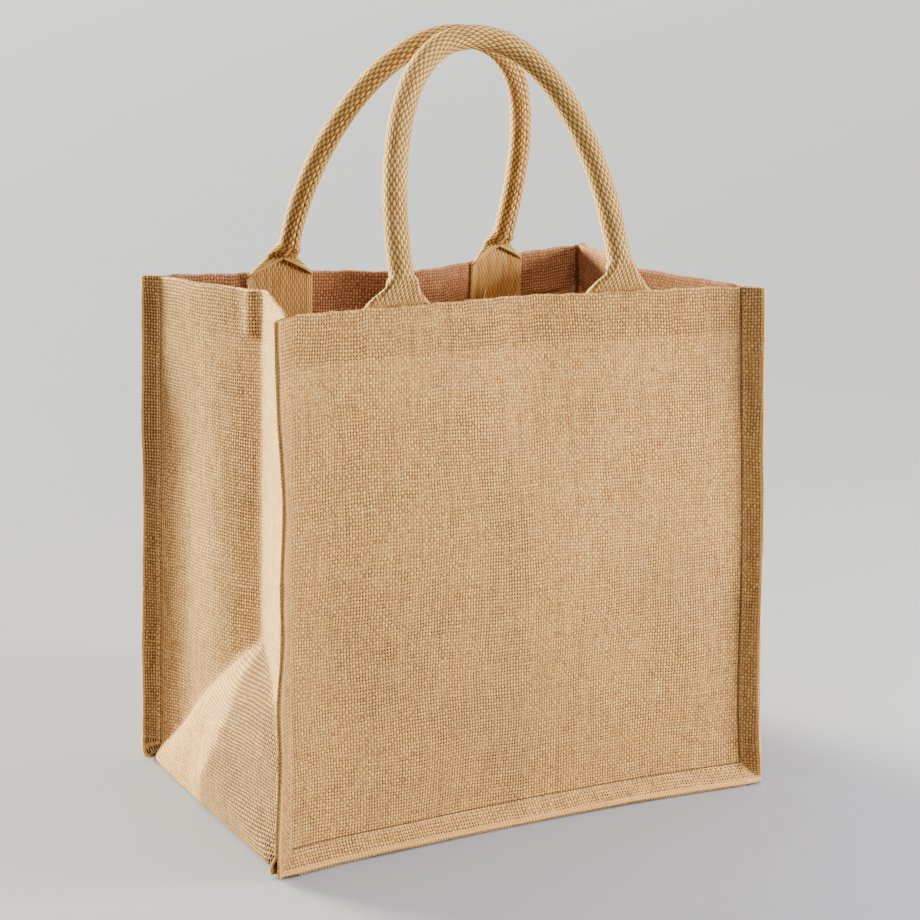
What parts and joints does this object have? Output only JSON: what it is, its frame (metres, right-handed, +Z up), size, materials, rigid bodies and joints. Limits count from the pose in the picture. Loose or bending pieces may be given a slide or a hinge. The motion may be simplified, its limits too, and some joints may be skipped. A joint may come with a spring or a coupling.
{
  "type": "jute tote bag",
  "caption": "Box-shaped open tote of coarse jute cloth with standing outer seams, pressed side folds and short padded webbing handles, standing on its base.",
  "frame": {"origin": "on the ground, under the middle of the bag", "axes": "+Z up, +X to the right along the wide panels, -Y out of the front panel"},
  "size_m": [0.3177, 0.219, 0.4475],
  "materials": {
    "jute": "coarse plain weave, matte, laminated on the inner face",
    "webbing": "tight warp-faced plain weave, matte"
  },
  "bodies": {
    "root": {"panel_front": "jute", "panel_back": "jute", "gusset": "jute", "handle_front": "webbing", "handle_back": "webbing"}
  },
  "joints": []
}
